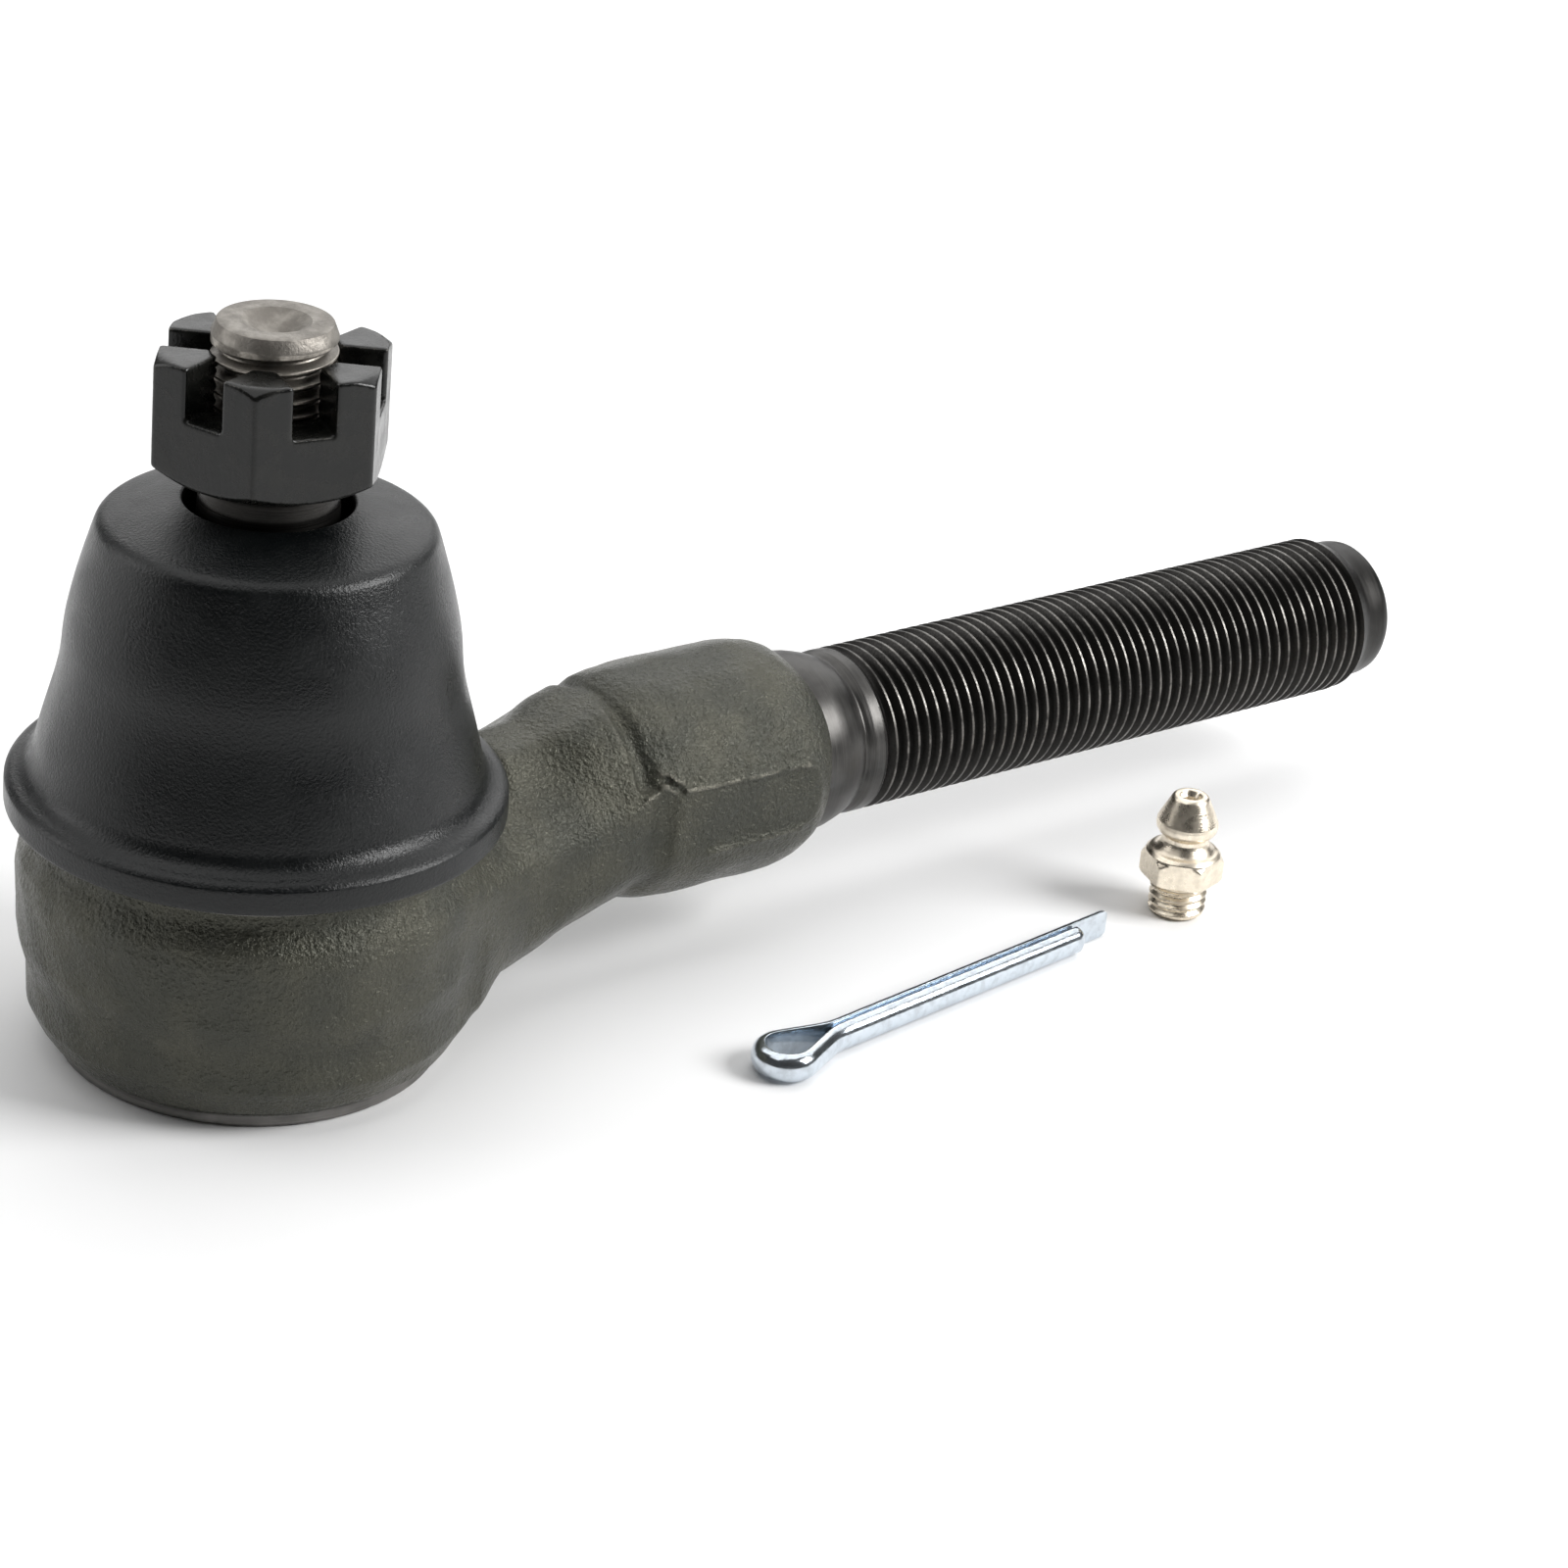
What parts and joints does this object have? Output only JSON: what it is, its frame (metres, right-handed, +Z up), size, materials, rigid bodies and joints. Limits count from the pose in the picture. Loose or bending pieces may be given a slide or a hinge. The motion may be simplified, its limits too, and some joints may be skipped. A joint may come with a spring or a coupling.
{
  "type": "tie rod end",
  "caption": "Greasable steering ball joint: tapered stud with castle nut, rubber dust boot, forged socket and male threaded shank, with its loose cotter pin and grease fitting.",
  "frame": {"origin": "on the stud axis, in the plane of the socket's flat lower rim that the part stands on", "axes": "+Z up along the stud, from the socket to the threaded tip; +X along the shank, from the socket to its tip"},
  "size_m": [0.1728, 0.0607, 0.0759],
  "materials": {
    "forged_steel": "as-forged, dark, grainy; machined black shank",
    "plain_steel": "turned, dull",
    "spring_steel": "bare spring steel",
    "bearing_bronze": "sintered, oiled",
    "black_oxide": "black oxide, slight sheen",
    "boot_rubber": "satin black",
    "zinc_plate": "bright blue zinc",
    "nickel_plate": "bright nickel"
  },
  "bodies": {
    "socket": {"housing": "forged_steel", "cover_plate": "plain_steel", "preload_spring": "spring_steel", "lower_bearing": "bearing_bronze", "upper_bearing": "bearing_bronze"},
    "boot": {"dust_boot": "boot_rubber", "boot_insert_ring": "spring_steel"},
    "boot_lip": {"boot_neck_ring": "spring_steel"},
    "stud": {"ball_stud": "plain_steel"},
    "nut": {"castle_nut": "black_oxide"},
    "cotter": {"cotter_pin": "zinc_plate"},
    "fitting": {"fitting_body": "nickel_plate", "fitting_spring": "spring_steel"},
    "check_ball": {"fitting_ball": "spring_steel"}
  },
  "joints": [
    {"name": "stud_swing", "type": "hinge", "parent": "socket", "child": "boot", "pos_m": [0, 0, 0.018], "axis": [0, 0, 1], "continuous": true},
    {"name": "stud_tilt", "type": "hinge", "parent": "boot", "child": "boot_lip", "pos_m": [0, 0, 0.018], "axis": [0, 1, 0], "range_deg": [-22, 22], "deforming": ["dust_boot"]},
    {"name": "stud_spin", "type": "hinge", "parent": "boot_lip", "child": "stud", "pos_m": [0, 0, 0.018], "axis": [0, 0, 1], "continuous": true},
    {"name": "nut_off", "type": "slide", "parent": "stud", "child": "nut", "axis": [0, 0, 1], "range_m": [0, 0.018]},
    {"name": "cotter_away", "type": "slide", "parent": "socket", "child": "cotter", "axis": [0, -1, 0], "range_m": [0, 0.04]},
    {"name": "fitting_away", "type": "slide", "parent": "socket", "child": "fitting", "axis": [0, -1, 0], "range_m": [0, 0.04]},
    {"name": "check_ball_lift", "type": "slide", "parent": "fitting", "child": "check_ball", "axis": [0, 0, -1], "range_m": [0, 0.0005], "stiffness_N_per_m": 400, "springref_m": -0.001, "deforming": ["fitting_spring"]}
  ]
}
